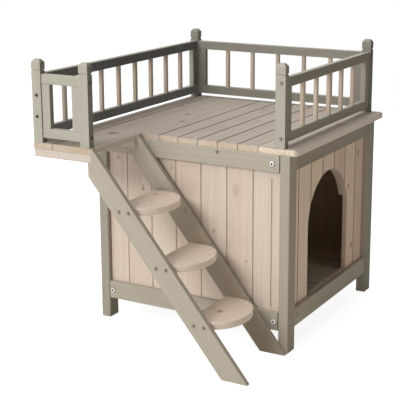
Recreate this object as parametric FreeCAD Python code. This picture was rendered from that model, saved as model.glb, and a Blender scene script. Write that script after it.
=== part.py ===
import FreeCAD, Part
import math
import os

# Two-level wooden pet house: a boarded cabin with an arched doorway, a railed deck on its roof
# and an open stair that climbs along the front to a landing. Millimetres, Z up.
# The pieces are drawn with X to the right along the front, Y from front to back and the corner of
# the front left foot at zero. They are then moved so that zero is under the middle of the whole.

# House frame
house_width = 550.0
house_depth = 548.0
leg_width = 26.0
leg_depth = 40.0
leg_height = 497.0
rail_thickness = 12.0
rail_end_gap = 2.0
side_rail_recess = 3.0
bottom_rail_level = 55.0
bottom_rail_height = 47.0
top_rail_height = 43.0
edge_ease = 1.2

# Wall boards
wall_board_thickness = 12.0
wall_board_width = 73.0
wall_board_gap = 0.5
wall_board_bevel = 1.8
front_first_board_width = 56.0
side_first_board_width = 45.0
end_rebate_width = 28.0
end_rebate_depth = 3.0
end_rebate_bottom_margin = 6.0
end_rebate_top_margin = 18.0
corner_batten_width = 28.0
corner_batten_depth = 16.0

# Doorway in the right wall
door_width = 254.0
door_head_margin = 47.0
door_offset = -4.0
header_rise = 29.0
header_top_gap = 10.0
header_thickness = 12.0
header_end_clearance = 0.5

# Cabin floor
floor_level = 90.0
floor_board_thickness = 12.0
floor_board_count = 6
floor_board_gap = 1.0
floor_side_clearance = 0.5
floor_cleat_width = 18.0
floor_cleat_height = 14.0

# Deck and landing
deck_thickness = 15.0
deck_board_width = 56.0
deck_board_gap = 1.0
nosing_board_widths = 2
landing_board_count = 3
deck_left_overhang = 40.0
deck_right_overhang = 16.0
deck_front_setback = 4.0
deck_back_overhang = 27.0
landing_reach = 211.0
deck_corner_radius = 11.0
deck_nosing_radius = 5.0
deck_batten_width = 40.0
deck_batten_thickness = 15.0
deck_batten_count = 3
deck_batten_margin = 4.0
landing_batten_height = 20.0
landing_batten_depth = 20.0
landing_batten_end_inset = 3.0

# Deck posts
post_width = 26.0
post_depth = 19.0
post_height = 203.0
post_edge_inset = 2.0
landing_post_right_inset = 4.0
right_post_inset = 33.0
back_post_inset = 10.0
post_groove_level = 176.0
post_groove_height = 5.0
post_groove_depth = 2.2
post_cap_bevel_height = 8.0
post_cap_bevel_inset = 6.5
post_cap_round = 2.5

# Railings
railing_thickness = 15.0
railing_rail_height = 24.0
railing_stile_width = 24.0
railing_floor_gap = 12.0
railing_height = 156.0
railing_face_inset = 3.0
left_railing_inset = 8.0
baluster_size = 10.4
side_baluster_pitch = 80.0
back_baluster_pitch = 82.0
left_baluster_count = 8
back_baluster_count = 5
right_baluster_count = 5

# Stair
stringer_thickness = 14.0
stringer_foot_length = 69.0
stringer_top_flat = 4.0
stringer_step = 8.0
stringer_ease = 2.0
stair_toe_inset = 1.0
tread_count = 3
tread_thickness = 17.0
tread_rise = 124.0
first_tread_level = 128.0
tread_straight_length = 36.0
tread_nose_length = 72.0
tread_back_inset = 5.0
tread_ease = 2.0

# Fasteners
bolt_diameter = 6.0
bolt_head_diameter = 14.0
bolt_head_height = 4.5
bolt_length = 36.0
top_bolt_from_leg = 20.0
bottom_bolt_from_leg = 12.0
screw_diameter = 3.6
screw_head_diameter = 8.0
screw_head_height = 2.6
screw_length = 32.0
rail_screw_length = 20.0
rail_screw_from_right = 196.0
rail_screw_from_top = 9.0
head_round_share = 0.6
socket_width_share = 0.42
socket_depth_share = 0.5
fastener_hole_clearance = 0.3
bolt_head_clearance = 1.0
tread_screw_first = 20.0
tread_screw_spacing = 27.0

# Levels and lines that several pieces share
deck_top = leg_height + deck_thickness
deck_left = -deck_left_overhang
deck_right = house_width + deck_right_overhang
deck_back = house_depth + deck_back_overhang
landing_front = -landing_reach
landing_right = deck_left + landing_board_count * deck_board_width
deck_board_count = round((deck_right - deck_left) / deck_board_width) + 1 - nosing_board_widths
wall_depth = rail_thickness + wall_board_thickness
side_wall_outer = side_rail_recess + rail_thickness
side_wall_inner = side_wall_outer + wall_board_thickness
top_rail_level = leg_height - top_rail_height
door_spring_level = top_rail_level - door_head_margin - door_width / 2
bottom_rail_top = bottom_rail_level + bottom_rail_height
wall_height = leg_height - bottom_rail_level
front_wall_length = house_width - 2 * leg_width
side_wall_length = house_depth - 2 * leg_depth
landing_batten_level = leg_height - landing_batten_height
left_post_x = deck_left
landing_right_post_x = landing_right - landing_post_right_inset - post_width
right_post_x = deck_right - right_post_inset - post_width
landing_post_y = landing_front + post_edge_inset
front_post_y = deck_front_setback + post_edge_inset
back_post_y = deck_back - back_post_inset - post_depth
railing_bottom = deck_top + railing_floor_gap
railing_top = railing_bottom + railing_height
lower_rail_middle = railing_bottom + railing_rail_height / 2
upper_rail_middle = railing_top - railing_rail_height / 2
stile_low_third = railing_bottom + railing_height / 3
stile_high_third = railing_bottom + railing_height * 2 / 3
stair_toe = house_width - stair_toe_inset
stair_slope = deck_top / (stair_toe - landing_right - stringer_top_flat)
tread_width = landing_reach - 2 * stringer_thickness

X_AXIS = FreeCAD.Vector(1, 0, 0)
Y_AXIS = FreeCAD.Vector(0, 1, 0)
Z_AXIS = FreeCAD.Vector(0, 0, 1)
overall_left = deck_left - screw_head_height
overall_front = landing_front - screw_head_height
row_shift = FreeCAD.Vector(-(overall_left + deck_right) / 2, -(overall_front + deck_back) / 2, 0)


def vector(x, y, z):
    return FreeCAD.Vector(x, y, z)


def prism(points, along):
    """A solid with the closed outline of points, drawn out along a vector."""
    return Part.Face(Part.makePolygon(points + points[:1])).extrude(along)


def block(low, high):
    """A plain box between two corners."""
    size = high - low
    return Part.makeBox(size.x, size.y, size.z, low)


def bar(low, high, axis, ease=edge_ease):
    """A length of timber between two corners with its four long edges eased."""
    size = high - low
    across = [one for one in (X_AXIS, Y_AXIS, Z_AXIS) if one != axis]
    wide, tall = (size.dot(one) for one in across)
    outline = [(ease, 0), (wide - ease, 0), (wide, ease), (wide, tall - ease),
               (wide - ease, tall), (ease, tall), (0, tall - ease), (0, ease)]
    points = [low + across[0] * u + across[1] * v for u, v in outline]
    return prism(points, axis * size.dot(axis))


def turned(shape, quarter_turns, corner):
    """A shape drawn facing the front, turned to another side of the house and set on a corner."""
    copy = shape.copy()
    copy.rotate(vector(0, 0, 0), Z_AXIS, 90 * quarter_turns)
    copy.translate(corner)
    return copy


# Fasteners

def fastener(head_point, into, diameter, length, head_diameter, head_height):
    """A domed screw or bolt whose head sits on a face at head_point and whose shank goes into it."""
    socket_radius = head_diameter * socket_width_share / 2
    socket_depth = head_height * socket_depth_share
    dome = Part.makeCylinder(head_diameter / 2, head_height, head_point, into * -1)
    crown = [edge for edge in dome.Edges if edge.Curve.TypeId == "Part::GeomCircle"
             and abs((edge.Curve.Center - head_point).Length - head_height) < head_height / 2]
    dome = dome.makeFillet(head_height * head_round_share, crown)
    socket = Part.makeCylinder(socket_radius, socket_depth, head_point - into * head_height, into)
    return dome.cut(socket).fuse(Part.makeCylinder(diameter / 2, length, head_point, into))


def bolt(head_point, into):
    return fastener(head_point, into, bolt_diameter, bolt_length, bolt_head_diameter, bolt_head_height)


def screw(head_point, into, length=screw_length):
    return fastener(head_point, into, screw_diameter, length, screw_head_diameter,
                    screw_head_height)


def bolt_places():
    """Heads on the end of each front and back rail, in line with the corner battens."""
    levels = ((bottom_bolt_from_leg, bottom_rail_level + bottom_rail_height / 2),
              (top_bolt_from_leg, top_rail_level + top_rail_height / 2))
    places = []
    for from_leg, z in levels:
        for x in (leg_width + from_leg, house_width - leg_width - from_leg):
            places.append((vector(x, 0, z), Y_AXIS))
            places.append((vector(x, house_depth, z), Y_AXIS * -1))
    return places


def bolt_head_rooms():
    """Room around the heads of the frame bolts, for a piece that covers one."""
    radius = bolt_head_diameter / 2 + bolt_head_clearance
    height = bolt_head_height + bolt_head_clearance
    return [Part.makeCylinder(radius, height, head_point, into * -1) for head_point, into in bolt_places()]


def railing_screw_places():
    """Screws through the posts into the rails, or into the stile where two railings meet."""
    front_middle = landing_post_y + railing_face_inset + railing_thickness / 2
    back_middle = back_post_y + post_depth - railing_face_inset - railing_thickness / 2
    left_middle = left_post_x + post_width / 2
    right_middle = right_post_x + post_width - railing_face_inset - railing_thickness / 2
    places = []
    for z in (lower_rail_middle, upper_rail_middle):
        places.append((vector(left_post_x, front_middle, z), X_AXIS))
        places.append((vector(landing_right_post_x + post_width, front_middle, z), X_AXIS * -1))
        places.append((vector(left_post_x, back_middle, z), X_AXIS))
        places.append((vector(right_post_x + post_width, back_middle, z), X_AXIS * -1))
        places.append((vector(right_middle, front_post_y, z), Y_AXIS))
    for z in (stile_low_third, stile_high_third):
        places.append((vector(left_middle, landing_post_y, z), Y_AXIS))
        places.append((vector(left_middle, back_post_y + post_depth, z), Y_AXIS * -1))
        places.append((vector(right_middle, back_post_y + post_depth, z), Y_AXIS * -1))
    return places


def stair_screw_places():
    """A pair of screws into each end of every tread."""
    places = []
    for number in range(tread_count):
        z = tread_top(number) - tread_thickness / 2
        for offset in (tread_screw_first, tread_screw_first + tread_screw_spacing):
            x = tread_back(number) + offset
            places.append((vector(x, landing_front, z), Y_AXIS))
            places.append((vector(x, 0, z), Y_AXIS * -1))
    return places


def landing_screw_places():
    """One screw up through each landing batten into every landing board."""
    places = []
    for number in range(landing_board_count):
        x = deck_left + (number + 0.5) * deck_board_width
        for y in (landing_front + landing_batten_depth / 2, -landing_batten_depth / 2):
            places.append((vector(x, y, landing_batten_level), Z_AXIS))
    return places


def rail_screw_places():
    """The one screw in the middle of the front top rail, into the wall boards behind it."""
    x = house_width - rail_screw_from_right
    return [(vector(x, 0, leg_height - rail_screw_from_top), Y_AXIS)]


def screw_places():
    return railing_screw_places() + stair_screw_places() + landing_screw_places()


def drilled(shape):
    """A piece of timber with a hole for every fastener that passes through it."""
    holes = []
    for places, diameter, length in ((bolt_places(), bolt_diameter, bolt_length),
                                     (screw_places(), screw_diameter, screw_length),
                                     (rail_screw_places(), screw_diameter, rail_screw_length)):
        radius = (diameter + fastener_hole_clearance) / 2
        for head_point, into in places:
            hole = Part.makeCylinder(radius, length + fastener_hole_clearance, head_point, into)
            if hole.BoundBox.intersect(shape.BoundBox):
                holes.append(hole)
    return shape.cut(holes) if holes else shape


# House frame

def leg(x, y):
    return bar(vector(x, y, 0), vector(x + leg_width, y + leg_depth, leg_height), Z_AXIS)


def legs():
    right = house_width - leg_width
    back = house_depth - leg_depth
    return {"front_left_leg": leg(0, 0), "front_right_leg": leg(right, 0),
            "back_left_leg": leg(0, back), "back_right_leg": leg(right, back)}


def rails():
    """A top and a bottom rail on each side, between the legs."""
    made = {}
    levels = {"bottom": (bottom_rail_level, bottom_rail_height), "top": (top_rail_level, top_rail_height)}
    left = leg_width + rail_end_gap
    right = house_width - left
    front = leg_depth
    back = house_depth - leg_depth
    for level, (low, height) in levels.items():
        for side, y in (("front", 0), ("back", house_depth - rail_thickness)):
            made[f"{side}_{level}_rail"] = bar(vector(left, y, low),
                                               vector(right, y + rail_thickness, low + height), X_AXIS)
        for side, x in (("left", side_rail_recess),
                        ("right", house_width - side_rail_recess - rail_thickness)):
            made[f"{side}_{level}_rail"] = bar(vector(x, front, low),
                                               vector(x + rail_thickness, back, low + height), Y_AXIS)
    return made


# Walls

def wall_board(start, end):
    """One upright board with its outer long edges bevelled, facing the front."""
    low = start + wall_board_gap / 2
    high = end - wall_board_gap / 2
    bevel = wall_board_bevel
    outline = [(low + bevel, 0), (high - bevel, 0), (high, bevel), (high, wall_board_thickness),
               (low, wall_board_thickness), (low, bevel)]
    return prism([vector(x, y, 0) for x, y in outline], Z_AXIS * wall_height)


def wall_boards(length, first_width):
    """Boards side by side over a length: a narrow first one, full ones and a last one for the rest."""
    seams = [0.0, first_width]
    while seams[-1] + wall_board_width < length - wall_board_width / 2:
        seams.append(seams[-1] + wall_board_width)
    seams.append(length)
    return [wall_board(start, end) for start, end in zip(seams, seams[1:])]


def end_rebate(length):
    """The shallow stopped rebate along the end of the last board, between the two rails."""
    low = bottom_rail_height + end_rebate_bottom_margin
    high = top_rail_level - bottom_rail_level - end_rebate_top_margin
    return block(vector(length - end_rebate_width, 0, low), vector(length, end_rebate_depth, high))


def doorway():
    """The arch that is cut through the right wall and the batten behind it, its sill on the rail."""
    middle = side_wall_length / 2 + door_offset
    radius = door_width / 2
    sill = bottom_rail_height
    spring = door_spring_level - bottom_rail_level
    left = middle - radius
    right = middle + radius
    arch = Part.Arc(vector(right, 0, spring), vector(middle, 0, spring + radius), vector(left, 0, spring))
    outline = Part.Wire([Part.makeLine(vector(left, 0, sill), vector(right, 0, sill)),
                         Part.makeLine(vector(right, 0, sill), vector(right, 0, spring)),
                         arch.toShape(),
                         Part.makeLine(vector(left, 0, spring), vector(left, 0, sill))])
    return Part.Face(outline).extrude(Y_AXIS * (wall_board_thickness + header_thickness))


def walls():
    """Boards inside the rails on all four sides, with the doorway in the right wall."""
    wide = wall_boards(front_wall_length, front_first_board_width)
    wide[-1] = wide[-1].cut(end_rebate(front_wall_length))
    narrow = wall_boards(side_wall_length, side_first_board_width)
    arched = [board.cut(doorway()) for board in narrow]
    low = bottom_rail_level
    sides = {
        "front_wall_boards": (wide, 0, vector(leg_width, rail_thickness, low)),
        "right_wall_boards": (arched, 1, right_wall_corner()),
        "back_wall_boards": (wide, 2, vector(house_width - leg_width, house_depth - rail_thickness, low)),
        "left_wall_boards": (narrow, 3, vector(side_wall_outer, house_depth - leg_depth, low)),
    }
    return {name: [turned(board, turns, corner) for board in boards]
            for name, (boards, turns, corner) in sides.items()}


def right_wall_corner():
    return vector(house_width - side_wall_outer, leg_depth, bottom_rail_level)


def door_header():
    """A batten behind the boards over the doorway, cut to the same arch, that holds them together."""
    start = header_end_clearance
    end = side_wall_length - header_end_clearance
    back = wall_board_thickness + header_thickness
    low = door_spring_level + header_rise - bottom_rail_level
    high = top_rail_level - header_top_gap - bottom_rail_level
    batten = bar(vector(start, wall_board_thickness, low), vector(end, back, high), X_AXIS)
    return turned(batten.cut(doorway()), 1, right_wall_corner())


def corner_battens():
    """Upright battens inside the corners, beside the legs, that the frame bolts go into."""
    battens = []
    for x in (leg_width, house_width - leg_width - corner_batten_width):
        for y in (wall_depth, house_depth - wall_depth - corner_batten_depth):
            battens.append(bar(vector(x, y, bottom_rail_level),
                               vector(x + corner_batten_width, y + corner_batten_depth, leg_height), Z_AXIS))
    return battens


# Cabin floor

def floor_boards():
    """Boards from the left wall to the right one, clear of the corner battens."""
    pitch = (house_depth - 2 * (wall_depth + corner_batten_depth)) / floor_board_count
    left = side_wall_inner + floor_side_clearance
    boards = []
    for number in range(floor_board_count):
        front = wall_depth + corner_batten_depth + number * pitch + floor_board_gap / 2
        boards.append(bar(vector(left, front, floor_level - floor_board_thickness),
                          vector(house_width - left, front + pitch - floor_board_gap, floor_level), X_AXIS))
    return boards


def floor_cleats():
    """Ledges on the side walls that carry the ends of the floor boards."""
    top = floor_level - floor_board_thickness
    front = wall_depth + corner_batten_depth
    return [bar(vector(x, front, top - floor_cleat_height),
                vector(x + floor_cleat_width, house_depth - front, top), Y_AXIS)
            for x in (side_wall_inner, house_width - side_wall_inner - floor_cleat_width)]


# Deck and landing

def tight_seam(seam):
    """The seams beside the landing's last board are butted tight, and the others stand a little open."""
    return seam in (landing_board_count - 1, landing_board_count)


def deck_board(number):
    """One deck board from front to back; the left ones run on over the landing."""
    left = deck_left + number * deck_board_width
    right = left + deck_board_width
    on_landing = number < landing_board_count
    front = landing_front if on_landing else deck_front_setback
    if number == deck_board_count - 1:
        return nosing_board(left + deck_board_gap / 2, front)
    left_ease = right_ease = 0
    if not tight_seam(number):
        left += deck_board_gap / 2
        left_ease = edge_ease
    if not tight_seam(number + 1):
        right -= deck_board_gap / 2
        right_ease = edge_ease
    corners = [(left + left_ease, leg_height), (right - right_ease, leg_height),
               (right, leg_height + right_ease), (right, deck_top - right_ease),
               (right - right_ease, deck_top), (left + left_ease, deck_top),
               (left, deck_top - left_ease), (left, leg_height + left_ease)]
    outline = [vector(x, front, z) for x, z in dict.fromkeys(corners)]
    board = prism(outline, Y_AXIS * (deck_back - front))
    return board.cut(landing_nosing(right)) if number == landing_board_count - 1 else board


def landing_nosing(right):
    """What is rounded off the landing's right top edge, as far back as the front of the deck."""
    radius = deck_nosing_radius
    length = deck_front_setback - landing_front
    corner = vector(right - radius, landing_front, deck_top - radius)
    square = Part.makeBox(radius, length, radius, corner)
    return square.cut(Part.makeCylinder(radius, length, corner, Y_AXIS))


def nosing_board(left, front):
    """The last board, with round corners in plan and a round outer top edge."""
    board = block(vector(left, front, leg_height), vector(deck_right, deck_back, deck_top))
    corners = [edge for edge in board.Edges
               if edge.BoundBox.ZLength > deck_thickness / 2 and edge.BoundBox.XMin > left]
    board = board.makeFillet(deck_corner_radius, corners)
    rim = [edge for edge in board.Edges
           if edge.BoundBox.ZMin > deck_top - deck_corner_radius
           and edge.BoundBox.XMax > left + deck_corner_radius]
    return board.makeFillet(deck_nosing_radius, rim)


def deck_boards():
    return {f"deck_board_{number + 1:02d}": deck_board(number) for number in range(deck_board_count)}


def deck_battens():
    """Battens under the deck boards, inside the cabin, that hold the boards together."""
    left = side_wall_inner + floor_side_clearance
    first = wall_depth + corner_batten_depth + deck_batten_margin
    step = (house_depth - 2 * first - deck_batten_width) / (deck_batten_count - 1)
    return [bar(vector(left, first + number * step, leg_height - deck_batten_thickness),
                vector(house_width - left, first + number * step + deck_batten_width, leg_height), X_AXIS)
            for number in range(deck_batten_count)]


def landing_batten(y):
    """A batten across the underside of the landing boards; the stair's notches hold it up."""
    return bar(vector(deck_left + landing_batten_end_inset, y, landing_batten_level),
               vector(landing_right, y + landing_batten_depth, leg_height), X_AXIS)


# Deck posts and railings

def post(x, y):
    """A post with a groove under its cap and a bevelled top, as a stack of rectangles."""
    groove = deck_top + post_groove_level
    top = deck_top + post_height
    half_groove = post_groove_height / 2
    levels = [(deck_top, 0), (groove - half_groove, 0), (groove, post_groove_depth),
              (groove + half_groove, 0), (top - post_cap_bevel_height, 0),
              (top - post_cap_round, post_cap_bevel_inset - post_cap_round), (top, post_cap_bevel_inset)]
    wires = []
    for z, inset in levels:
        low = vector(x + inset, y + inset, z)
        high = vector(x + post_width - inset, y + post_depth - inset, z)
        corners = [low, vector(high.x, low.y, z), high, vector(low.x, high.y, z)]
        wires.append(Part.makePolygon(corners + corners[:1]))
    return Part.makeLoft(wires, True, True)


def posts():
    return {"landing_left_post": post(left_post_x, landing_post_y),
            "landing_right_post": post(landing_right_post_x, landing_post_y),
            "front_right_post": post(right_post_x, front_post_y),
            "back_right_post": post(right_post_x, back_post_y),
            "back_left_post": post(left_post_x, back_post_y)}


def railing(name, start, along, length, across, baluster_count=0, pitch=0.0):
    """A framed railing from start: two rails, a stile at each end between them and the balusters."""
    def piece(first, last, low, high, inset=0.0, axis=along):
        one = start + along * first + across * inset + Z_AXIS * low
        other = start + along * last + across * (railing_thickness - inset) + Z_AXIS * high
        return bar(one, other, axis)

    under = railing_rail_height
    over = railing_height - railing_rail_height
    width = railing_stile_width
    made = {
        f"{name}_railing_top_rail": piece(0, length, over, railing_height),
        f"{name}_railing_bottom_rail": piece(0, length, 0, under),
        f"{name}_railing_stiles": [piece(0, width, under, over, axis=Z_AXIS),
                                   piece(length - width, length, under, over, axis=Z_AXIS)],
    }
    if baluster_count:
        first = length / 2 - (baluster_count - 1) * pitch / 2 - baluster_size / 2
        inset = (railing_thickness - baluster_size) / 2
        made[f"{name}_railing_balusters"] = [
            piece(first + number * pitch, first + number * pitch + baluster_size,
                  under, over, inset, Z_AXIS) for number in range(baluster_count)]
    return made


def railings():
    """Railings on the left, back and right of the deck and a framed panel at the landing's front."""
    inset = railing_face_inset
    behind_landing_post = landing_post_y + post_depth
    behind_front_post = front_post_y + post_depth
    right_of_left_posts = left_post_x + post_width
    right_railing_x = right_post_x + post_width - inset - railing_thickness
    back_railing_y = back_post_y + post_depth - inset - railing_thickness
    left_start = vector(left_post_x + left_railing_inset, behind_landing_post, railing_bottom)
    back_start = vector(right_of_left_posts, back_railing_y, railing_bottom)
    right_start = vector(right_railing_x, behind_front_post, railing_bottom)
    landing_start = vector(right_of_left_posts, landing_post_y + inset, railing_bottom)
    made = {}
    made.update(railing("left", left_start, Y_AXIS, back_post_y - behind_landing_post, X_AXIS,
                        left_baluster_count, side_baluster_pitch))
    made.update(railing("back", back_start, X_AXIS, right_post_x - right_of_left_posts, Y_AXIS,
                        back_baluster_count, back_baluster_pitch))
    made.update(railing("right", right_start, Y_AXIS, back_post_y - behind_front_post, X_AXIS,
                        right_baluster_count, side_baluster_pitch))
    made.update(railing("landing", landing_start, X_AXIS, landing_right_post_x - right_of_left_posts,
                        Y_AXIS))
    return made


# Stair

def tread_top(number):
    return first_tread_level + number * tread_rise


def lower_edge_x(z):
    """Where the stringer's lower edge is at a height."""
    return stair_toe - stringer_foot_length - z / stair_slope


def tread_back(number):
    return lower_edge_x(tread_top(number) - tread_thickness / 2) + tread_back_inset


def stringer(y):
    """A sloping side of the stair, notched at the top to carry a landing batten."""
    end = landing_right - stringer_step
    end_low = (stair_toe - stringer_foot_length - end) * stair_slope
    outline = [(stair_toe - stringer_foot_length, 0), (stair_toe, 0),
               (landing_right + stringer_top_flat, deck_top), (landing_right, deck_top),
               (landing_right, landing_batten_level), (end, landing_batten_level), (end, end_low)]
    side = prism([vector(x, y, z) for x, z in outline], Y_AXIS * stringer_thickness)
    slopes = [edge for edge in side.Edges
              if edge.BoundBox.XLength > stringer_foot_length
              and edge.BoundBox.ZLength > stringer_foot_length]
    return side.makeFillet(stringer_ease, slopes)


def tread(number):
    """A step between the stringers with straight ends and a half-oval nose."""
    back = tread_back(number)
    low = tread_top(number) - tread_thickness
    front = landing_front + stringer_thickness
    middle = front + tread_width / 2
    shoulder = back + tread_straight_length
    near = vector(shoulder, front, low)
    far = vector(shoulder, front + tread_width, low)
    oval = Part.Ellipse(far, vector(shoulder + tread_nose_length, middle, low), vector(shoulder, middle, low))
    nose = Part.ArcOfEllipse(oval, 0, math.pi)
    outline = Part.Wire(Part.__sortEdges__([
        Part.makeLine(vector(back, far.y, low), vector(back, near.y, low)),
        Part.makeLine(vector(back, near.y, low), near), nose.toShape(),
        Part.makeLine(far, vector(back, far.y, low))]))
    step = Part.Face(outline).extrude(Z_AXIS * tread_thickness)
    rims = [edge for edge in step.Edges
            if edge.BoundBox.ZLength < tread_ease and edge.BoundBox.XLength > tread_ease]
    return step.makeFillet(tread_ease, rims)


def stair():
    made = {"stair_front_stringer": stringer(landing_front),
            "stair_back_stringer": stringer(-stringer_thickness)}
    for number, name in enumerate(("lower", "middle", "upper")):
        made[f"stair_{name}_tread"] = tread(number)
    return made


# All the pieces, each name with one solid or a group of separate solids

def timber():
    made = {}
    for group in (legs(), rails(), walls(), deck_boards(), posts(), railings(), stair()):
        made.update(group)
    made["corner_battens"] = corner_battens()
    made["floor_boards"] = floor_boards()
    made["floor_cleats"] = floor_cleats()
    made["deck_battens"] = deck_battens()
    made["door_header"] = door_header()
    made["landing_battens"] = [landing_batten(landing_front),
                               landing_batten(-landing_batten_depth).cut(bolt_head_rooms())]
    return made


def solids_of(shapes):
    return shapes if isinstance(shapes, list) else [shapes]


pieces = {name: [drilled(shape) for shape in solids_of(shapes)] for name, shapes in timber().items()}
pieces["frame_bolts"] = [bolt(*place) for place in bolt_places()]
pieces["wood_screws"] = [screw(*place) for place in screw_places()]
pieces["wood_screws"] += [screw(*place, rail_screw_length) for place in rail_screw_places()]

os.makedirs("parts", exist_ok=True)
for name, shapes in pieces.items():
    solids = [solid for shape in shapes for solid in shape.Solids]
    whole = solids[0] if len(solids) == 1 else Part.makeCompound(solids)
    whole.translate(row_shift)
    whole.exportStep(f"parts/{name}.step")
print(len(pieces), "nodes")
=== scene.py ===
import bpy
import math
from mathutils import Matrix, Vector


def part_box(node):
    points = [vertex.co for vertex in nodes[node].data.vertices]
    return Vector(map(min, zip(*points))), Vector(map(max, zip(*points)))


# A two-level wooden pet house: finishes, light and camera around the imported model. Metres, Z up.

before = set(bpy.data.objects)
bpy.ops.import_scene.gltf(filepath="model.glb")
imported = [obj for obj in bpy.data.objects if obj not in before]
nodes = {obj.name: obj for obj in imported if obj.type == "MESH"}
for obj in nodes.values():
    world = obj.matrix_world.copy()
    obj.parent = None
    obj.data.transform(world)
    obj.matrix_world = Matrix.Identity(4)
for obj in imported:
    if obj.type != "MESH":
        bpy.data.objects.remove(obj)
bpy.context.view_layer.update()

# Ways that faces look
RIGHT, LEFT = (1, 0, 0), (-1, 0, 0)
FRONT, BACK = (0, -1, 0), (0, 1, 0)
UP = (0, 0, 1)

# Sizes of boards and balusters in rows, whose tint changes from one to the next
WALL_BOARD_WIDTH = 0.073
FRONT_FIRST_BOARD_WIDTH = 0.056
SIDE_FIRST_BOARD_WIDTH = 0.045
FLOOR_BOARD_COUNT = 6
BALUSTER_PITCH = 0.080
# How far a stringer's foot reaches along the ground
STRINGER_FOOT = 0.069

# Deck boards, of which the landing's last one is butted tight on both sides
DECK_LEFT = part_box("deck_board_01")[0].x
DECK_PITCH = 0.056
DECK_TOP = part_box("deck_board_01")[1].z
TIGHT_BOARD = 3
TIGHT_JOINTS_MIDDLE = DECK_LEFT + (TIGHT_BOARD - 0.5) * DECK_PITCH
TIGHT_JOINTS_REACH = 0.75 * DECK_PITCH
# Distances from an open joint at which its dirt starts and is full, its strength, and how much of
# that it loses on end grain
JOINT_DIRT_STEP = (0.0030, 0.0012)
JOINT_DIRT_STRENGTH = 0.7
JOINT_DIRT_LOSS_ON_ENDS = 0.5

# Where the frame bolts are, across and up, and the radius of their sockets
BOLT_PLACES = [(-0.2237, 0.0785), (0.2503, 0.0785), (-0.2157, 0.4755), (0.2423, 0.4755)]
SOCKET_RADIUS = 0.0029
SOCKET_STEP = (SOCKET_RADIUS * 1.05, SOCKET_RADIUS * 0.9)

# Colours of the finishes, as they look under plain white light:
#   pale, late, warm    early wood, late wood and warmer patches
#   knot, end, seam   knots, end grain, and bevels: dark seams on most finishes, a painted highlight on nosings and treads
#   worn, edge, flush   worn spots, painted highlight on rounded outer edges, pink bands along the grain
#   grain, ring         how strong the grain and its rings are
#   warmth              how strong the warmer patches are
#   hue, end_hue        how much the tint changes from board to board, on faces and on end grain
#   knots               share of places with a knot, besides the knots that are listed
#   joints              whether the open joints of the deck boards are dirty
#   painted_light_and_shade   painted shade and painted light: tints of faces that look one way, each
#                             with the heights where a tint that doesn't go all the way up or down
#                             starts and is full
WHITEWASH = {
    "pale": (0.755, 0.655, 0.55), "late": (0.63, 0.515, 0.41), "warm": (0.69, 0.54, 0.44),
    "knot": (0.30, 0.205, 0.135), "end": (0.64, 0.52, 0.40), "seam": (0.54, 0.44, 0.345),
    "worn": (0.78, 0.69, 0.59), "flush": (0.70, 0.545, 0.45), "grain": 0.34, "ring": 0.20,
    "warmth": 0.45, "hue": 0.22, "end_hue": 0.5, "knots": 0.06, "roughness": 0.68,
}
# The right wall's copy is painted lighter and warmer as painted light, with darker seams and stronger
# board tints
WHITEWASH_RIGHT = dict(WHITEWASH, pale=(0.80, 0.655, 0.525), late=(0.67, 0.53, 0.415),
                       warm=(0.715, 0.53, 0.425), seam=(0.13, 0.095, 0.068), hue=0.55)
WHITEWASH_LANDING = dict(WHITEWASH, pale=(0.61, 0.565, 0.49), late=(0.52, 0.46, 0.385),
                         warm=(0.555, 0.48, 0.40))

# Painted shade on the faces of grey pieces that look right
GREY_SHADED_SIDE = (RIGHT, (0.80, 0.79, 0.77))
GREY_STAIN = {
    "pale": (0.465, 0.42, 0.343), "late": (0.41, 0.365, 0.292), "warm": (0.43, 0.37, 0.292),
    "knot": (0.24, 0.20, 0.15), "end": (0.40, 0.355, 0.285), "seam": (0.44, 0.395, 0.32),
    "worn": (0.51, 0.465, 0.385), "grain": 0.42, "ring": 0.30, "warmth": 0.30, "hue": 0.12,
    "end_hue": 0.1, "knots": 0.03, "roughness": 0.58, "painted_light_and_shade": [GREY_SHADED_SIDE],
}
# The railings' grey, with painted shade on its faces that look right
GREY_RAILING = dict(GREY_STAIN, pale=(0.45, 0.425, 0.358), late=(0.395, 0.37, 0.305),
                    warm=(0.41, 0.375, 0.305), seam=(0.42, 0.395, 0.33), worn=(0.49, 0.465, 0.40),
                    painted_light_and_shade=[(RIGHT, (0.70, 0.68, 0.67))])


def tinted(finish, *tints):
    """A finish with its own tints of painted light and painted shade for faces that look one way."""
    return dict(finish, painted_light_and_shade=tints)


# Lit and shaded copies of the grey stain, one for each piece: a tint below one is painted shade and a
# tint above one is painted light
GREY_FACING = tinted(GREY_STAIN, GREY_SHADED_SIDE, (FRONT, (1.10, 1.12, 1.14)))
GREY_TOP_RIGHT = tinted(GREY_STAIN, (RIGHT, (0.70, 0.68, 0.65)))
GREY_LOW_RIGHT = tinted(GREY_STAIN, (RIGHT, (0.94, 0.95, 0.95)))
# The lower part of the front left leg's front face is painted darker as painted shade
GREY_FRONT_LEFT = tinted(GREY_STAIN, GREY_SHADED_SIDE, (FRONT, (0.84, 0.86, 0.88), 0.43, 0.34))
GREY_BACK_RIGHT = tinted(GREY_STAIN, (RIGHT, (0.66, 0.69, 0.69)))
# The back stringer's front face is painted darker and warmer low down as painted shade, and lighter
# high up as painted light
BACK_STRINGER = tinted(GREY_STAIN, GREY_SHADED_SIDE, (FRONT, (0.84, 0.76, 0.70), 0.42, 0.24),
                       (FRONT, (1.13, 1.12, 1.12), 0.36, 0.44))
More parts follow.
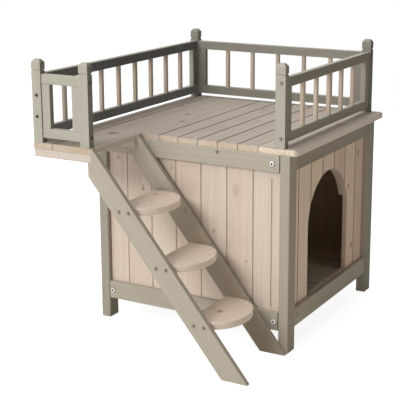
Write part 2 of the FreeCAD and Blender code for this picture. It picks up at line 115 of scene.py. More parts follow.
# Lit and shaded copies of the railings' grey, one for each piece or group, with painted shade and
# painted light in the same way
LEFT_STILES = tinted(GREY_RAILING, (RIGHT, (0.48, 0.51, 0.56)), (FRONT, (1.18, 1.22, 1.30)))
LEFT_TOP_RAIL = tinted(GREY_RAILING, (RIGHT, (0.38, 0.41, 0.48)))
LEFT_BOTTOM_RAIL = tinted(GREY_RAILING, (RIGHT, (0.63, 0.70, 0.84)))
RIGHT_TOP_RAIL = tinted(GREY_RAILING, (RIGHT, (0.61, 0.585, 0.58)))
RIGHT_BOTTOM_RAIL = tinted(GREY_RAILING, (RIGHT, (0.79, 0.76, 0.75)))
FACING_POST = tinted(GREY_RAILING, (RIGHT, (0.70, 0.66, 0.63)), (FRONT, (1.10, 1.10, 1.12)))
LANDING_POST = tinted(GREY_RAILING, (RIGHT, (0.58, 0.58, 0.57)))
# Painted shade on the front faces of the back railing
BACK_SHADED_FRONT = (FRONT, (0.76, 0.76, 0.79))
BACK_RAILING = tinted(GREY_RAILING, BACK_SHADED_FRONT, (RIGHT, (0.62, 0.62, 0.62)))
BACK_RIGHT_POST = tinted(GREY_RAILING, BACK_SHADED_FRONT, (RIGHT, (0.37, 0.375, 0.355)))

DECK_WASH = {
    "pale": (0.475, 0.413, 0.356), "late": (0.39, 0.333, 0.28), "warm": (0.44, 0.36, 0.305),
    "knot": (0.20, 0.15, 0.11), "end": (0.70, 0.58, 0.45), "seam": (0.12, 0.09, 0.065),
    "worn": (0.55, 0.485, 0.42), "grain": 0.46, "ring": 0.42, "warmth": 0.40, "hue": 0.16,
    "end_hue": 0.6, "knots": 0.08, "roughness": 0.62, "joints": True,
}
# The deck's front board is painted lighter than the other deck boards as painted light, with painted
# highlight on its bevels, rounded edge and end grain
DECK_NOSING = dict(DECK_WASH, pale=(0.56, 0.485, 0.415), late=(0.465, 0.395, 0.335),
                   seam=(0.68, 0.60, 0.52), end=(0.87, 0.73, 0.575), edge=(0.79, 0.695, 0.60),
                   joints=False)
LANDING_WASH = dict(DECK_WASH, end=(0.545, 0.45, 0.35))
# The landing's front board, with painted highlight on its bevels and rounded edge
LANDING_NOSING = dict(LANDING_WASH, seam=(0.62, 0.55, 0.475), edge=(0.70, 0.615, 0.53),
                      joints=False)
# The treads, whose bevels, rounded edges and front end faces are painted lighter than the tops as
# painted highlight
TREAD_WASH = {
    "pale": (0.645, 0.55, 0.455), "late": (0.57, 0.475, 0.385), "warm": (0.61, 0.49, 0.40),
    "knot": (0.26, 0.18, 0.12), "end": (0.80, 0.69, 0.565), "seam": (0.72, 0.62, 0.51),
    "worn": (0.67, 0.58, 0.48), "edge": (0.80, 0.69, 0.565), "grain": 0.42, "ring": 0.42,
    "warmth": 0.30, "hue": 0.2, "end_hue": 0.2, "knots": 0.03, "roughness": 0.64,
}
BARE_WOOD = {
    "pale": (0.67, 0.55, 0.43), "late": (0.56, 0.43, 0.325), "warm": (0.62, 0.475, 0.375),
    "knot": (0.22, 0.13, 0.08), "end": (0.60, 0.46, 0.33), "seam": (0.58, 0.47, 0.365),
    "worn": (0.70, 0.59, 0.48), "grain": 0.40, "ring": 0.42, "warmth": 0.40, "hue": 0.7,
    "end_hue": 0.6, "knots": 0.06, "roughness": 0.66,
}
BALUSTER_WOOD = dict(BARE_WOOD, pale=(0.68, 0.585, 0.50), late=(0.585, 0.485, 0.405),
                     warm=(0.63, 0.505, 0.43), hue=0.5)
FLOOR_WOOD = dict(BARE_WOOD, pale=(0.80, 0.705, 0.585), late=(0.69, 0.59, 0.48),
                  warm=(0.74, 0.62, 0.50), seam=(0.16, 0.12, 0.09), hue=0.25)
# Bare faces of the wall boards inside the cabin, painted darker than the other bare wood as painted
# shade
UNWASHED_IN_PAINTED_SHADE = (0.47, 0.345, 0.225)
UNWASHED_GRAIN_IN_PAINTED_SHADE = (0.37, 0.26, 0.16)

# Plated steel: bright parts, dull parts, roughness, and how far a face turns away from the three
# axes where the dark rim of painted shade starts and where it is full
BOLT_STEEL = ((0.66, 0.645, 0.61), (0.42, 0.41, 0.385), 0.34, (0.80, 0.62))
SCREW_STEEL = ((0.30, 0.275, 0.235), (0.15, 0.135, 0.115), 0.40, (0.97, 0.85))
# Darker steel of the screws above the deck's left half
DARK_STEEL_ABOVE_LEFT = (0.07, 0.064, 0.056)
# Painted shade on the rims of the heads
PAINTED_SHADE_RIM = (0.07, 0.068, 0.062)
# Painted shade in the bolts' sockets
SOCKET_PAINTED_SHADE = (0.025, 0.024, 0.022)

# What the colour of one board is multiplied by, with the rate that picks a number for the board
# and the step in that number
PINK = (1.0, 0.88, 0.86)
STRAW = (0.97, 1.0, 0.84)
SHADED = (0.78, 0.76, 0.74)
FACE_TINTS = [(PINK, 17.0, (0.45, 0.95)), (STRAW, 29.0, (0.45, 0.95)), (SHADED, 41.0, (0.5, 1.0))]
END_TINTS = [(PINK, 7.0, (0.3, 0.8)), (STRAW, 13.0, (0.3, 0.8))]

# Knots that the photograph shows: place on the surface, radius and how dark it is
FRONT_WALL_KNOTS = [
    ((0.138, -0.169, 0.394), 0.010, 0.30), ((-0.132, -0.169, 0.364), 0.0042, 0.8),
    ((-0.134, -0.169, 0.372), 0.0025, 0.7), ((-0.207, -0.169, 0.439), 0.0038, 0.65),
    ((-0.044, -0.169, 0.433), 0.006, 0.35), ((0.076, -0.169, 0.282), 0.003, 0.7),
    ((0.167, -0.169, 0.216), 0.003, 0.5),
]
RIGHT_WALL_KNOTS = [
    ((0.273, 0.287, 0.414), 0.006, 0.8), ((0.273, 0.224, 0.334), 0.005, 0.8),
    ((0.273, 0.255, 0.159), 0.007, 0.8),
]
DECK_KNOTS = [
    ((-0.195, -0.212, 0.512), 0.010, 1.0), ((-0.181, -0.210, 0.512), 0.006, 0.7),
    ((-0.245, 0.204, 0.512), 0.008, 0.8), ((-0.116, 0.001, 0.512), 0.008, 0.7),
    ((-0.161, 0.103, 0.512), 0.008, 0.7), ((0.002, 0.255, 0.512), 0.008, 0.6),
    ((0.264, 0.170, 0.512), 0.008, 0.8), ((0.237, -0.177, 0.508), 0.006, 0.35),
]
TREAD_KNOTS = [
    ((0.164, -0.298, 0.128), 0.007, 0.9), ((-0.051, -0.235, 0.376), 0.006, 0.7),
    ((-0.03, -0.288, 0.376), 0.004, 0.6),
]
STRINGER_KNOTS = [((0.010, -0.195, 0.335), 0.005, 0.5)]
RAIL_KNOTS = [((0.285, -0.119, 0.083), 0.005, 0.6)]

# Noises: how often they repeat in a metre, detail and roughness. The first five are in the wood's
# own space, with the two ways across the grain before the way along it.
FIBRE = ((620.0, 620.0, 8.0), 3.0, 0.6)
STREAK = ((95.0, 95.0, 1.3), 3.0, 0.6)
TONE = ((8.0, 8.0, 1.2), 2.0, 0.5)
SWELL = ((11.0, 11.0, 0.9), 2.0, 0.45)
FLUSH_BANDS = ((46.0, 46.0, 1.1), 2.0, 0.55)
BLOTCH = ((60.0, 60.0, 60.0), 2.0, 0.5)
SCUFF = ((34.0, 34.0, 34.0), 4.0, 0.65)
RAGGED_EDGE = ((420.0, 420.0, 420.0), 2.0, 0.6)
DULL_PATCHES = ((420.0, 420.0, 420.0), 4.0, 0.6)
SCRATCHES = ((5200.0, 900.0, 2400.0), 2.0, 0.5)

# Growth rings: how many cross a metre, how far swells and knots shift them, and their profile
RINGS_ACROSS = (64.0, 48.0, 0.0)
RING_SWELL, RING_BULGE = 11.0, 0.8
RING_RISE, RING_FALL = (0.0, 0.85), (1.0, 0.88)
# How far apart the patterns of two boards lie
SEED_SHIFT = (3.1, 5.7, 11.3)
# Values at which a pattern starts and is full, and how strong it is there
LINES_STEP, LINES_STRENGTH = (0.35, 1.25), 2.0
FIBRE_IN_LINES, STREAK_IN_LINES = 0.45, 0.75
TONE_STEP = (0.5, 0.72)
FLUSH_STEP, FLUSH_STRENGTH = (0.52, 0.72), 0.55
BLOTCH_STEP, BLOTCH_STRENGTH = (0.45, 0.75), 0.5
SCUFF_STEP, SCUFF_STRENGTH = (0.58, 0.8), 0.35
PATCH_STEP, PATCH_ROUGHNESS = (0.4, 0.7), 0.25
SEAM_AND_EDGE_HIGHLIGHT_STRENGTH = 0.8
PAINTED_EDGE_HIGHLIGHT_STRENGTH = 0.85
RINGS_ON_ENDS = 0.35
# Shares of a face's direction at which a kind of face starts and is full
END_FACES = (0.8, 0.95)
BEVELS, BEVELS_BESIDE_ENDS = (0.97, 0.85), (0.3, 0.1)
INNER_FACES = (0.6, 0.9)
PAINTED_LIGHT_AND_SHADE_FACES = (0.5, 0.9)
ROUNDED_EDGES = (0.95, 0.4)
# Knots: steps in knot radii, how much longer they are along the grain, and how ragged
KNOT_STEP = (1.15, 0.6)
KNOT_BULGE = (4.5, 0.6)
KNOT_RIM, KNOT_RIM_STRENGTH = (2.6, 1.0), 0.4
KNOT_LENGTHENING = 0.65
RAGGED_LEAST, RAGGED_REACH = 0.25, 1.5
CORE_LEAST, FIBRE_IN_CORE = 0.6, 0.6
# Knots that aren't listed: cells in a metre, radius in cells, darkness, and how far off a cell
# without a knot puts it
CHANCE_CELLS, CHANCE_RADIUS, CHANCE_DEPTH, CHANCE_AWAY = 9.0, 0.045, 0.6, 9.0
# Surface of the wood: change of roughness, and what the bump is made of
ROUGHNESS_DROP, FIBRE_ROUGHNESS = 0.08, 0.2
FIBRE_BUMP, RING_BUMP, CORE_BUMP = 0.6, 0.35, -0.5
WOOD_BUMP = {"Strength": 0.3, "Distance": 0.0005}
METAL_BUMP = {"Strength": 0.2, "Distance": 0.0001}
WOOD_SPECULAR = 0.06

# Floor and light
WHITE = (1.0, 1.0, 1.0)
FLOOR_SIZE = 6.0
FLOOR_DROP = 0.0005
FLOOR_GLOW = 0.88
FLOOR_SEEN = (0.42, 0.42, 0.42)
FLOOR_UNSEEN = (0.70, 0.70, 0.69)
AMBIENT = 0.01
DOME_BRIGHTEST = (-0.48, -0.20, 0.86)
DOME_FOCUS = 12.0
DOME_STRENGTH = 2.75
MIDDLE = (0.0, 0.0, 0.35)
# Softboxes: name, place, aim, width, height, power and colour
SOFTBOXES = [
    ("front_low", (-0.15, -1.9, 0.20), (0.0, -0.2, 0.25), 1.6, 0.3, 5.6, WHITE),
    ("front", (-0.45, -2.1, 1.45), MIDDLE, 0.9, 0.6, 19.9, WHITE),
    ("top", (0.2, -0.1, 2.7), (0.2, -0.1, 0.0), 1.2, 1.2, 7.5, WHITE),
    ("fill_right", (1.3, -0.2, 0.38), (0.3, 0.1, 0.2), 0.7, 0.4, 1.9, (1.0, 0.87, 0.73)),
    ("back", (-0.5, 2.6, 1.2), MIDDLE, 1.6, 1.6, 16.0, WHITE),
]

# Camera at the photograph's place, fitted to the corners of the house. Angles in degrees.
CAMERA_PLACE = (1.3590, -2.4564, 1.0714)
CAMERA_DOWN, CAMERA_TURN = 13.316, 28.682
CAMERA_SENSOR, CAMERA_LENS = 36.0, 98.57
CAMERA_SHIFT = (-0.0625, -0.0875)


class Graph:
    """Short calls that add the nodes of one shader tree and link them."""

    def __init__(self, tree):
        self.tree = tree
        tree.nodes.clear()

    def add(self, kind, inputs=None, **settings):
        node = self.tree.nodes.new("ShaderNode" + kind)
        for key, value in settings.items():
            setattr(node, key, value)
        for key, value in (inputs or {}).items():
            self.feed(node.inputs[key], value)
        return node

    def feed(self, socket, value):
        """Links an output to a socket, or sets the socket's own value."""
        if isinstance(value, bpy.types.NodeSocket):
            self.tree.links.new(value, socket)
        else:
            socket.default_value = value

    def math(self, operation, first, second=0.0, clamp=False):
        node = self.add("Math", {0: first, 1: second}, operation=operation, use_clamp=clamp)
        return node.outputs[0]

    def times(self, first, second):
        return self.math("MULTIPLY", first, second)

    def total(self, *values):
        result = values[0]
        for value in values[1:]:
            result = self.math("ADD", result, value)
        return result

    def vector(self, operation, first, second=(0, 0, 0)):
        node = self.add("VectorMath", {0: first, 1: second}, operation=operation)
        return node.outputs["Value" if operation in ("DOT_PRODUCT", "DISTANCE") else "Vector"]

    def split(self, vector):
        return self.add("SeparateXYZ", {"Vector": vector}).outputs

    def mix(self, factor, first, second, blend="MIX"):
        node = self.add("Mix", data_type="RGBA", blend_type=blend)
        factor_socket, first_socket, second_socket = (node.inputs[index] for index in (0, 6, 7))
        self.feed(factor_socket, factor)
        for socket, colour in ((first_socket, first), (second_socket, second)):
            self.feed(socket, (*colour, 1.0) if isinstance(colour, tuple) else colour)
        return node.outputs[2]

    def noise(self, vector, stretch, detail, roughness):
        scaled = self.vector("MULTIPLY", vector, stretch)
        return self.add("TexNoise", {"Vector": scaled, "Scale": 1.0, "Detail": detail,
                                     "Roughness": roughness}).outputs["Fac"]

    def ease(self, value, start, end):
        """0 where value is at start and 1 where it is at end, with a soft step between."""
        return self.add("MapRange", {"Value": value, "From Min": start, "From Max": end},
                        interpolation_type="SMOOTHSTEP").outputs["Result"]


def new_material(name):
    material = bpy.data.materials.new(name)
    material.use_nodes = True
    return material, Graph(material.node_tree)


def board_seed(graph, position, rows):
    """A number for each board: one for each object, and one for each board in a row of boards."""
    random = graph.add("ObjectInfo").outputs["Random"]
    if rows is None:
        return random
    axis, start, pitch = rows
    across = graph.math("SUBTRACT", graph.vector("DOT_PRODUCT", position, axis), start)
    index = graph.math("FLOOR", graph.math("DIVIDE", across, pitch))
    value = graph.add("TexWhiteNoise", {"W": index}, noise_dimensions="1D").outputs["Value"]
    return graph.math("ADD", random, value)


def board_tints(graph, colour, seed, tints, strength):
    """Turns a colour towards some of the tints, as the board's number says."""
    for tint, rate, step in tints:
        picked = graph.math("FRACT", graph.times(seed, rate))
        colour = graph.mix(graph.times(graph.ease(picked, *step), strength), colour, tint, "MULTIPLY")
    return colour


def knot_shapes(graph, position, pattern, share, knots, grain):
    """How far a point is from the nearest knot, in knot radii, and how dark the knots are there."""
    spots = graph.add("TexVoronoi", {"Vector": pattern, "Scale": CHANCE_CELLS}).outputs
    chance = graph.add("SeparateColor", {"Color": spots["Color"]}).outputs[0]
    absent = graph.math("GREATER_THAN", chance, share)
    nearest = graph.total(graph.math("DIVIDE", spots["Distance"], CHANCE_RADIUS),
                          graph.times(absent, CHANCE_AWAY))
    dark = graph.times(graph.ease(nearest, *KNOT_STEP), CHANCE_DEPTH)
    ragged = graph.times(graph.noise(position, *RAGGED_EDGE), RAGGED_REACH)
    ragged = graph.math("ADD", RAGGED_LEAST, ragged)
    drawn_out = Vector([KNOT_LENGTHENING if axis == grain else 1.0 for axis in "XYZ"])
    for place, radius, depth in knots:
        shortened = graph.vector("MULTIPLY", position, drawn_out)
        away = graph.vector("DISTANCE", shortened, Vector(place) * drawn_out)
        away = graph.times(graph.math("DIVIDE", away, radius), ragged)
        nearest = graph.math("MINIMUM", nearest, away)
        dark = graph.math("MAXIMUM", dark, graph.times(graph.ease(away, *KNOT_STEP), depth))
    return nearest, dark


def growth_rings(graph, pattern, knot):
    """The late wood of the growth rings, which bend round the knots."""
    across = graph.vector("DOT_PRODUCT", pattern, RINGS_ACROSS)
    swell = graph.times(graph.noise(pattern, *SWELL), RING_SWELL)
    bulge = graph.times(graph.ease(knot, *KNOT_BULGE), RING_BULGE)
    ring = graph.math("FRACT", graph.total(across, swell, bulge))
    return graph.times(graph.ease(ring, *RING_RISE), graph.ease(ring, *RING_FALL))


def joint_dirt(graph, position, end_grain):
    """How much dirt a point of the deck has from the open joint beside it."""
    across = graph.vector("DOT_PRODUCT", position, RIGHT)
    boards = graph.math("DIVIDE", graph.math("SUBTRACT", across, DECK_LEFT), DECK_PITCH)
    from_middle = graph.math("ABSOLUTE", graph.math("SUBTRACT", graph.math("FRACT", boards), 0.5))
    from_joint = graph.times(graph.math("SUBTRACT", 0.5, from_middle), DECK_PITCH)
    from_tight = graph.math("ABSOLUTE", graph.math("SUBTRACT", across, TIGHT_JOINTS_MIDDLE))
    dirt = graph.times(graph.ease(from_joint, *JOINT_DIRT_STEP),
                       graph.math("GREATER_THAN", from_tight, TIGHT_JOINTS_REACH))
    loss = graph.times(end_grain, JOINT_DIRT_LOSS_ON_ENDS)
    return graph.times(dirt, graph.math("SUBTRACT", JOINT_DIRT_STRENGTH, loss))


def wood(name, grain, finish, rows=None, knots=(), slope=0.0, inside=None):
    """Softwood with growth rings, fibres, knots, end grain, seams and worn spots under a thin finish,
    with painted highlight on rounded edges and painted light and shade on faces that look one way.

    grain is the axis that the fibres follow, after a turn by slope about Y for a sloping piece.
    rows tells the boards of one node apart. Faces that look along inside have no finish on them, and
    are painted darker as painted shade."""
    material, graph = new_material(name)
    coordinates = graph.add("TexCoord").outputs
    position, normal = coordinates["Object"], coordinates["Normal"]
    turned, facing = position, normal
    if slope:
        turned, facing = (graph.add("VectorRotate", {"Vector": vector, "Angle": slope},
                                    rotation_type="Y_AXIS").outputs["Vector"]
                          for vector in (position, normal))

    def along_grain(vector):
        """The vector in the wood's own space, where the way along the grain comes last."""
        parts = graph.split(vector)
        order = [axis for axis in "XYZ" if axis != grain] + [grain]
        own = {axis: parts[part] for axis, part in zip("XYZ", order)}
        return graph.add("CombineXYZ", own).outputs[0]

    seed = board_seed(graph, position, rows)
    spread = graph.add("CombineXYZ", {0: seed, 1: seed, 2: seed}).outputs[0]
    shift = graph.vector("MULTIPLY", spread, SEED_SHIFT)
    pattern = graph.vector("ADD", along_grain(turned), shift)
    knot, dark = knot_shapes(graph, position, pattern, finish["knots"], knots, grain)
    ring = growth_rings(graph, pattern, knot)
    fibre = graph.noise(pattern, *FIBRE)
    streak = graph.noise(pattern, *STREAK)
    tone = graph.ease(graph.noise(pattern, *TONE), *TONE_STEP)

    # Grain, warmer patches and the board's own tint
    lines = graph.total(graph.times(ring, finish["ring"]), graph.times(fibre, FIBRE_IN_LINES),
                        graph.times(streak, STREAK_IN_LINES))
    lines = graph.math("MULTIPLY", graph.ease(lines, *LINES_STEP),
                       LINES_STRENGTH * finish["grain"], clamp=True)
    colour = graph.mix(lines, finish["pale"], finish["late"])
    colour = graph.mix(graph.times(tone, finish["warmth"]), colour, finish["warm"])
    if "flush" in finish:
        bands = graph.ease(graph.noise(pattern, *FLUSH_BANDS), *FLUSH_STEP)
        colour = graph.mix(graph.times(bands, FLUSH_STRENGTH), colour, finish["flush"])
    colour = board_tints(graph, colour, seed, FACE_TINTS, finish["hue"])

    # Knots
    rim = graph.times(graph.ease(knot, *KNOT_RIM), KNOT_RIM_STRENGTH)
    core = graph.times(dark, graph.math("ADD", CORE_LEAST, graph.times(fibre, FIBRE_IN_CORE)))
    colour = graph.mix(rim, colour, finish["warm"])
    colour = graph.mix(core, colour, finish["knot"])

    # End grain, seams and joints
    sides = graph.split(graph.vector("ABSOLUTE", along_grain(facing)))
    end_grain = graph.ease(sides["Z"], *END_FACES)
    flat = graph.math("MAXIMUM", sides["X"], sides["Y"])
    bevel = graph.times(graph.ease(flat, *BEVELS), graph.ease(sides["Z"], *BEVELS_BESIDE_ENDS))
    ends = graph.mix(graph.times(ring, RINGS_ON_ENDS), finish["end"], finish["warm"])
    ends = board_tints(graph, ends, seed, END_TINTS, finish["end_hue"])
    blotch = graph.ease(graph.noise(position, *BLOTCH), *BLOTCH_STEP)
    ends = graph.mix(graph.times(blotch, BLOTCH_STRENGTH), ends, finish["worn"])
    colour = graph.mix(end_grain, colour, ends)
    # Bevels take the seam colour: dark seams on most finishes, a painted highlight on nosings and
    # treads
    colour = graph.mix(graph.times(bevel, SEAM_AND_EDGE_HIGHLIGHT_STRENGTH), colour, finish["seam"])
    if finish.get("joints"):
        colour = graph.mix(joint_dirt(graph, position, end_grain), colour, finish["seam"])

    # Faces that look one way: bare inner faces painted darker as painted shade, and tints of painted
    # shade and painted light
    # Bare inner faces, painted darker than bare wood elsewhere as painted shade
    if inside:
        inner = graph.ease(graph.vector("DOT_PRODUCT", normal, inside), *INNER_FACES)
        colour = graph.mix(inner, colour, graph.mix(lines, UNWASHED_IN_PAINTED_SHADE, UNWASHED_GRAIN_IN_PAINTED_SHADE))
    # Painted shade and painted light: the colour of faces that look one way, at some heights only, is
    # multiplied by a tint
    for direction, tint, *heights in finish.get("painted_light_and_shade", ()):
        painted_light_and_shade = graph.ease(graph.vector("DOT_PRODUCT", normal, direction), *PAINTED_LIGHT_AND_SHADE_FACES)
        if heights:
            painted_light_and_shade = graph.times(painted_light_and_shade, graph.ease(graph.vector("DOT_PRODUCT", position, UP), *heights))
        colour = graph.mix(painted_light_and_shade, colour, tint, "MULTIPLY")
    # Painted highlight on sides and rounded edges that don't look up or down, except on end grain
    if "edge" in finish:
        upright = graph.split(graph.vector("ABSOLUTE", normal))["Z"]
        painted_edge_highlight_mask = graph.math("SUBTRACT", PAINTED_EDGE_HIGHLIGHT_STRENGTH, graph.times(end_grain, PAINTED_EDGE_HIGHLIGHT_STRENGTH))
        painted_edge_highlight_mask = graph.times(graph.ease(upright, *ROUNDED_EDGES), painted_edge_highlight_mask)
        colour = graph.mix(painted_edge_highlight_mask, colour, finish["edge"])

    # Wear and the surface
    scuff = graph.ease(graph.noise(position, *SCUFF), *SCUFF_STEP)
    colour = graph.mix(graph.times(scuff, SCUFF_STRENGTH), colour, finish["worn"])
    roughness = graph.math("ADD", finish["roughness"] - ROUGHNESS_DROP,
                           graph.times(fibre, FIBRE_ROUGHNESS))
    height = graph.total(graph.times(fibre, FIBRE_BUMP), graph.times(ring, RING_BUMP),
                         graph.times(core, CORE_BUMP))
    bump = graph.add("Bump", {"Height": height, **WOOD_BUMP})
    shader = graph.add("BsdfPrincipled", {"Base Color": colour, "Roughness": roughness,
                                          "Normal": bump.outputs[0],
                                          "Specular IOR Level": WOOD_SPECULAR})
    graph.add("OutputMaterial", {"Surface": shader.outputs[0]})
    return material


def metal(name, steel, sockets=(), darker_above_left=None):
    """Plated steel with a bright crown, dull patches, a rim darkened as painted shade, and fine
    scratches.

    sockets are places of sockets painted near black as painted shade, across and up. The last
    argument is the darker colour of the steel above the deck's left half."""
    bright, dull, roughness, rim = steel
    material, graph = new_material(name)
    coordinates = graph.add("TexCoord").outputs
    position = coordinates["Object"]
    patches = graph.noise(position, *DULL_PATCHES)
    sides = graph.split(graph.vector("ABSOLUTE", coordinates["Normal"]))
    flat = graph.math("MAXIMUM", graph.math("MAXIMUM", sides["X"], sides["Y"]), sides["Z"])
    colour = graph.mix(graph.ease(patches, *PATCH_STEP), bright, dull)
    # Painted shade: faces turned away from the three axes, on the rims of the heads, are darkened
    colour = graph.mix(graph.ease(flat, *rim), colour, PAINTED_SHADE_RIM)
    # Screws above the deck's left half are darker
    if darker_above_left:
        above = graph.math("GREATER_THAN", graph.vector("DOT_PRODUCT", position, UP), DECK_TOP)
        left = graph.math("LESS_THAN", graph.vector("DOT_PRODUCT", position, RIGHT), 0.0)
        colour = graph.mix(graph.times(above, left), colour, darker_above_left)
    # Painted shade: the bolts' sockets are painted near black
    for x, z in sockets:
        away = graph.vector("DISTANCE", graph.vector("MULTIPLY", position, (1, 0, 1)), (x, 0, z))
        colour = graph.mix(graph.ease(away, *SOCKET_STEP), colour, SOCKET_PAINTED_SHADE)
    rough = graph.math("ADD", roughness, graph.times(patches, PATCH_ROUGHNESS))
    bump = graph.add("Bump", {"Height": graph.noise(position, *SCRATCHES), **METAL_BUMP})
    shader = graph.add("BsdfPrincipled", {"Base Color": colour, "Roughness": rough,
                                          "Normal": bump.outputs[0], "Metallic": 1.0})
    graph.add("OutputMaterial", {"Surface": shader.outputs[0]})
    return material


def baluster_wood(side, axis, count):
    """Bare wood whose tint changes from baluster to baluster along one railing."""
    low, high = (Vector(axis).dot(corner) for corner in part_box(f"{side}_railing_balusters"))
    start = (low + high) / 2 - count * BALUSTER_PITCH / 2
    return wood(f"bare_wood_{side}", "Z", BALUSTER_WOOD, (axis, start, BALUSTER_PITCH))


def paint(material, *names):
    """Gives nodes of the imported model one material."""
    for name in names:
        slots = nodes[name].data.materials
        slots.clear()
        slots.append(material)


# Rows of boards: across which axis, where the first full board starts and how wide one is
front_row = (RIGHT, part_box("front_wall_boards")[0].x + FRONT_FIRST_BOARD_WIDTH, WALL_BOARD_WIDTH)
back_row = (LEFT, -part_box("back_wall_boards")[1].x + FRONT_FIRST_BOARD_WIDTH, WALL_BOARD_WIDTH)
right_row = (BACK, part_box("right_wall_boards")[0].y + SIDE_FIRST_BOARD_WIDTH, WALL_BOARD_WIDTH)
left_row = (FRONT, -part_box("left_wall_boards")[1].y + SIDE_FIRST_BOARD_WIDTH, WALL_BOARD_WIDTH)
floor_low, floor_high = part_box("floor_boards")
floor_row = (BACK, floor_low.y, (floor_high.y - floor_low.y) / FLOOR_BOARD_COUNT)

# The stringers' lean from upright
stair_low, stair_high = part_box("stair_front_stringer")
stair_lean = math.atan2(stair_high.x - stair_low.x - STRINGER_FOOT, stair_high.z)

# Cabin
paint(wood("whitewash_front", "Z", WHITEWASH, front_row, FRONT_WALL_KNOTS, inside=BACK),
      "front_wall_boards")
paint(wood("whitewash_back", "Z", WHITEWASH, back_row, inside=FRONT), "back_wall_boards")
paint(wood("whitewash_right", "Z", WHITEWASH_RIGHT, right_row, RIGHT_WALL_KNOTS, inside=LEFT),
      "right_wall_boards")
paint(wood("whitewash_left", "Z", WHITEWASH, left_row, inside=RIGHT), "left_wall_boards")
paint(wood("grey_stain_x", "X", GREY_STAIN), "front_bottom_rail", "back_top_rail", "back_bottom_rail")
paint(wood("grey_stain_y", "Y", GREY_STAIN), "left_top_rail", "left_bottom_rail")
paint(wood("grey_stain_z", "Z", GREY_STAIN), "front_right_leg", "back_left_leg")
paint(wood("grey_facing_x", "X", GREY_FACING), "front_top_rail")
paint(wood("grey_top_right", "Y", GREY_TOP_RIGHT), "right_top_rail")
paint(wood("grey_low_right", "Y", GREY_LOW_RIGHT, knots=RAIL_KNOTS), "right_bottom_rail")
paint(wood("grey_front_left", "Z", GREY_FRONT_LEFT), "front_left_leg")
paint(wood("grey_back_right", "Z", GREY_BACK_RIGHT), "back_right_leg")
paint(wood("bare_wood_x", "X", BARE_WOOD), "deck_battens")
paint(wood("bare_wood_y", "Y", BARE_WOOD), "floor_cleats", "door_header")
paint(wood("bare_wood_z", "Z", BARE_WOOD), "corner_battens")
paint(wood("bare_wood_floor", "X", FLOOR_WOOD, floor_row), "floor_boards")
# Deck and landing
paint(wood("landing_wash", "Y", LANDING_WASH, knots=DECK_KNOTS), "deck_board_01", "deck_board_02")
paint(wood("landing_nosing_wash", "Y", LANDING_NOSING, knots=DECK_KNOTS), "deck_board_03")
paint(wood("deck_wash", "Y", DECK_WASH, knots=DECK_KNOTS),
      *(f"deck_board_{number:02d}" for number in range(4, 10)))
paint(wood("deck_nosing_wash", "Y", DECK_NOSING, knots=DECK_KNOTS), "deck_board_10")
paint(wood("whitewash_landing", "X", WHITEWASH_LANDING), "landing_battens")
# Posts and railings
paint(wood("grey_railing_x", "X", GREY_RAILING), "landing_railing_top_rail",
      "landing_railing_bottom_rail")
paint(wood("grey_railing_z", "Z", GREY_RAILING), "landing_left_post", "landing_railing_stiles",
      "right_railing_stiles")
paint(wood("landing_post", "Z", LANDING_POST), "landing_right_post")
paint(wood("facing_post", "Z", FACING_POST), "front_right_post")
paint(wood("back_right_post", "Z", BACK_RIGHT_POST), "back_right_post")
paint(wood("back_railing_z", "Z", BACK_RAILING), "back_left_post", "back_railing_stiles")
paint(wood("back_railing_x", "X", BACK_RAILING), "back_railing_top_rail", "back_railing_bottom_rail")
paint(wood("left_railing_z", "Z", LEFT_STILES), "left_railing_stiles")
paint(wood("left_top_rail", "Y", LEFT_TOP_RAIL), "left_railing_top_rail")
paint(wood("left_bottom_rail", "Y", LEFT_BOTTOM_RAIL), "left_railing_bottom_rail")
paint(wood("right_top_rail", "Y", RIGHT_TOP_RAIL), "right_railing_top_rail")
paint(wood("right_bottom_rail", "Y", RIGHT_BOTTOM_RAIL), "right_railing_bottom_rail")
paint(baluster_wood("left", BACK, 8), "left_railing_balusters")
paint(baluster_wood("back", RIGHT, 5), "back_railing_balusters")
paint(baluster_wood("right", BACK, 5), "right_railing_balusters")
# Stair
paint(wood("grey_stain_stair", "Z", GREY_STAIN, slope=stair_lean), "stair_front_stringer")
paint(wood("grey_back_stringer", "Z", BACK_STRINGER, knots=STRINGER_KNOTS, slope=stair_lean),
      "stair_back_stringer")
paint(wood("tread_wash", "Y", TREAD_WASH, knots=TREAD_KNOTS), "stair_lower_tread",
      "stair_middle_tread", "stair_upper_tread")
# Fasteners
paint(metal("zinc_bolt", BOLT_STEEL, BOLT_PLACES), "frame_bolts")
paint(metal("zinc_screw", SCREW_STEEL, darker_above_left=DARK_STEEL_ABOVE_LEFT), "wood_screws")


def white_to_camera(graph, seen, unseen):
    """Chooses one shader for rays that show the background and another for rays that carry light."""
    path = graph.add("LightPath").outputs
    shown = graph.math("MAXIMUM", path["Is Camera Ray"], path["Is Glossy Ray"])
    shown = graph.math("MAXIMUM", shown, path["Is Transmission Ray"])
    return graph.add("MixShader", {0: shown, 1: unseen, 2: seen}).outputs[0]


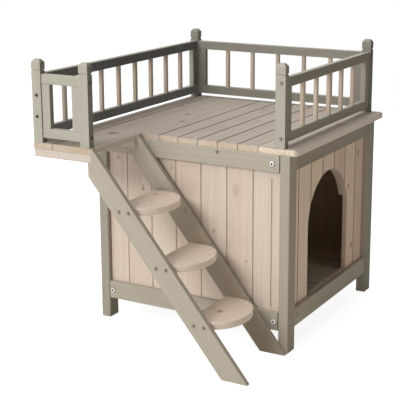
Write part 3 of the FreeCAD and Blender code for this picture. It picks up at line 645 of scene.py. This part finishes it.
def studio_floor():
    """A floor that is white to the camera, with the object's soft shadow on it."""
    mesh = bpy.data.meshes.new("studio_floor")
    half = FLOOR_SIZE / 2
    corners = [(-half, -half, 0), (half, -half, 0), (half, half, 0), (-half, half, 0)]
    mesh.from_pydata(corners, [], [(0, 1, 2, 3)])
    floor = bpy.data.objects.new("studio_floor", mesh)
    bpy.context.scene.collection.objects.link(floor)
    floor.location.z = -FLOOR_DROP
    material, graph = new_material("studio_floor")
    matt = graph.add("BsdfDiffuse", {"Color": (*FLOOR_UNSEEN, 1.0)}).outputs[0]
    pale = graph.add("BsdfDiffuse", {"Color": (*FLOOR_SEEN, 1.0)}).outputs[0]
    glow = graph.add("Emission", {"Color": (*WHITE, 1.0), "Strength": FLOOR_GLOW}).outputs[0]
    lifted = graph.add("AddShader", {0: pale, 1: glow}).outputs[0]
    graph.add("OutputMaterial", {"Surface": white_to_camera(graph, lifted, matt)})
    mesh.materials.append(material)


def studio_world():
    """White to the camera; as light, a soft dome that is brightest from above on the left."""
    world = bpy.data.worlds.new("studio")
    bpy.context.scene.world = world
    world.use_nodes = True
    graph = Graph(world.node_tree)
    direction = graph.add("TexCoord").outputs["Generated"]
    towards = graph.vector("DOT_PRODUCT", direction, Vector(DOME_BRIGHTEST).normalized())
    share = graph.math("ADD", graph.times(towards, 0.5), 0.5)
    strength = graph.times(graph.math("POWER", share, DOME_FOCUS), DOME_STRENGTH)
    strength = graph.math("ADD", strength, AMBIENT)
    seen, light = (graph.add("Background", {"Color": (*WHITE, 1.0), "Strength": value}).outputs[0]
                   for value in (1.0, strength))
    graph.add("OutputWorld", {"Surface": white_to_camera(graph, seen, light)})


def softbox(name, place, aim, width, height, power, colour):
    lamp = bpy.data.lights.new(name, "AREA")
    lamp.shape = "RECTANGLE"
    lamp.size = width
    lamp.size_y = height
    lamp.energy = power
    lamp.color = colour
    light = bpy.data.objects.new(name, lamp)
    light.location = place
    light.rotation_euler = (Vector(aim) - Vector(place)).to_track_quat("-Z", "Y").to_euler()
    light.visible_camera = False
    bpy.context.scene.collection.objects.link(light)


studio_floor()
studio_world()
for values in SOFTBOXES:
    softbox(*values)

camera = bpy.data.cameras.new("camera")
camera.sensor_width = CAMERA_SENSOR
camera.lens = CAMERA_LENS
camera.shift_x, camera.shift_y = CAMERA_SHIFT
viewer = bpy.data.objects.new("camera", camera)
viewer.location = CAMERA_PLACE
viewer.rotation_euler = (math.radians(90 - CAMERA_DOWN), 0, math.radians(CAMERA_TURN))
bpy.context.scene.collection.objects.link(viewer)
bpy.context.scene.camera = viewer
bpy.context.scene.view_settings.view_transform = "Standard"
